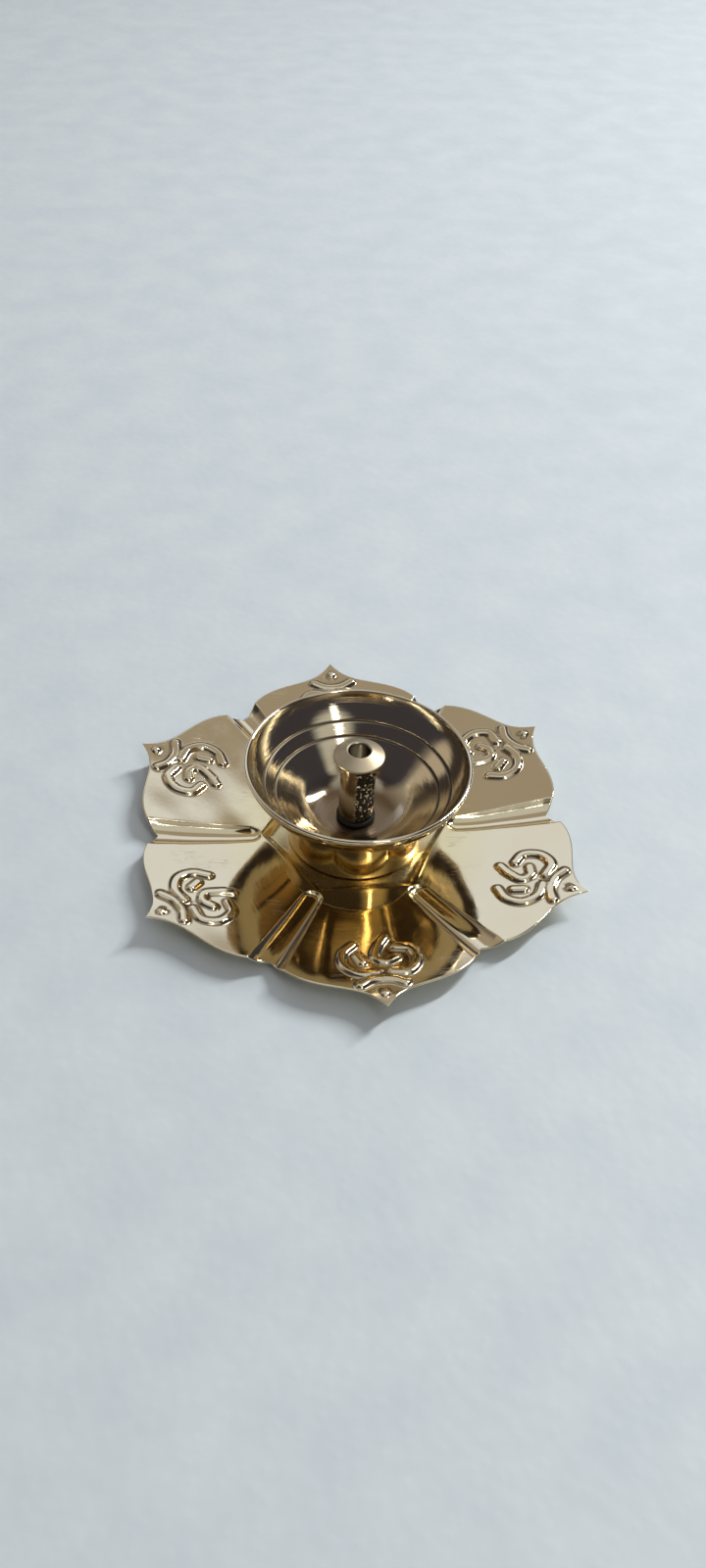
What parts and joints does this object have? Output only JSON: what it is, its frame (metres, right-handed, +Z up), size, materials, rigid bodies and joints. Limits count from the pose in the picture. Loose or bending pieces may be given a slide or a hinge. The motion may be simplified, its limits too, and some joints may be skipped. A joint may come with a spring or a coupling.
{
  "type": "diya oil lamp",
  "caption": "Small brass oil lamp: a round oil bowl with a central wick post, screwed to a lotus-petal drip plate.",
  "frame": {"origin": "on the table, under the middle of the lamp", "axes": "+Z up along the lamp's axis; one petal's tip points along +Y"},
  "size_m": [0.0994, 0.1142, 0.0269],
  "materials": {
    "plate_brass": "polished pressed sheet",
    "bowl_brass": "polished, with fine lathe lines",
    "post_brass": "turned, satin",
    "seal_rubber": "matt",
    "fixing_steel": "plated"
  },
  "bodies": {
    "root": {"lotus_plate": "plate_brass", "fixing_screw": "fixing_steel", "flat_washer": "fixing_steel"},
    "bowl": {"oil_bowl": "bowl_brass", "post_seal": "seal_rubber"},
    "post": {"wick_post": "post_brass"}
  },
  "joints": [
    {"name": "bowl_lift", "type": "slide", "parent": "root", "child": "bowl", "axis": [0, 0, 1], "range_m": [0, 0.012]},
    {"name": "post_lift", "type": "slide", "parent": "bowl", "child": "post", "axis": [0, 0, 1], "range_m": [0, 0.018]}
  ]
}
